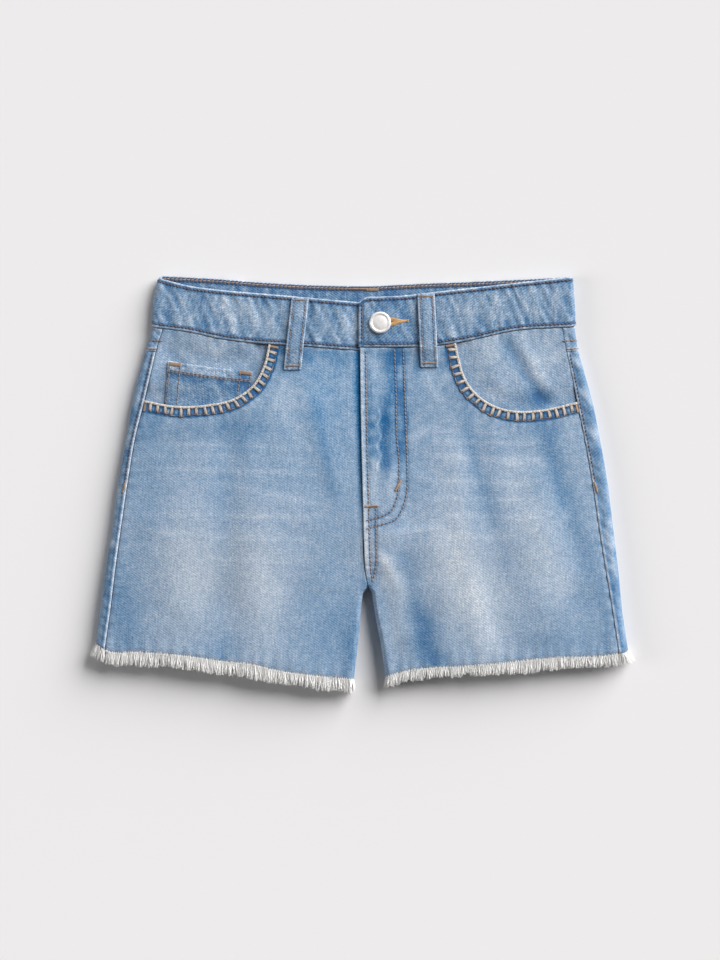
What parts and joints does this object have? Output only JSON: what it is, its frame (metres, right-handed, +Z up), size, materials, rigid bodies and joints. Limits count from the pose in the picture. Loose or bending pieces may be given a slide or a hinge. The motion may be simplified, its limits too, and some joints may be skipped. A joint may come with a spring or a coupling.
{
  "type": "denim shorts laid flat",
  "caption": "Pair of denim shorts laid flat, face up: curved front pockets, zip fly with shank button, waistband with belt loops, raw frayed hems.",
  "frame": {"origin": "centre of the laid out shorts on the surface that they lie on", "axes": "+X across the shorts towards the wearer's left side, +Y towards the waistband, +Z up off the surface, towards the shorts' front"},
  "size_m": [0.4272, 0.3286, 0.0172],
  "materials": {
    "washed_denim": "light stone washed blue denim, right-hand twill, matt",
    "frayed_cotton": "undyed cotton threads, fluffy and matt",
    "zip_tape": "woven blue tape",
    "button_metal": "silvery, softly polished with a brighter rim"
  },
  "bodies": {
    "root": {"front_right": "washed_denim", "front_left": "washed_denim", "back_right": "washed_denim", "back_left": "washed_denim", "yoke_right": "washed_denim", "yoke_left": "washed_denim", "waistband": "washed_denim", "pocket_facing_right": "washed_denim", "pocket_facing_left": "washed_denim", "coin_pocket": "washed_denim", "zip": "zip_tape", "loop_front_right": "washed_denim", "loop_front_left": "washed_denim", "loop_back_right": "washed_denim", "loop_back_centre": "washed_denim", "loop_back_left": "washed_denim", "button": "button_metal", "fringe_front_right": "frayed_cotton", "fringe_front_left": "frayed_cotton", "fringe_back_right": "frayed_cotton", "fringe_back_left": "frayed_cotton"}
  },
  "joints": []
}
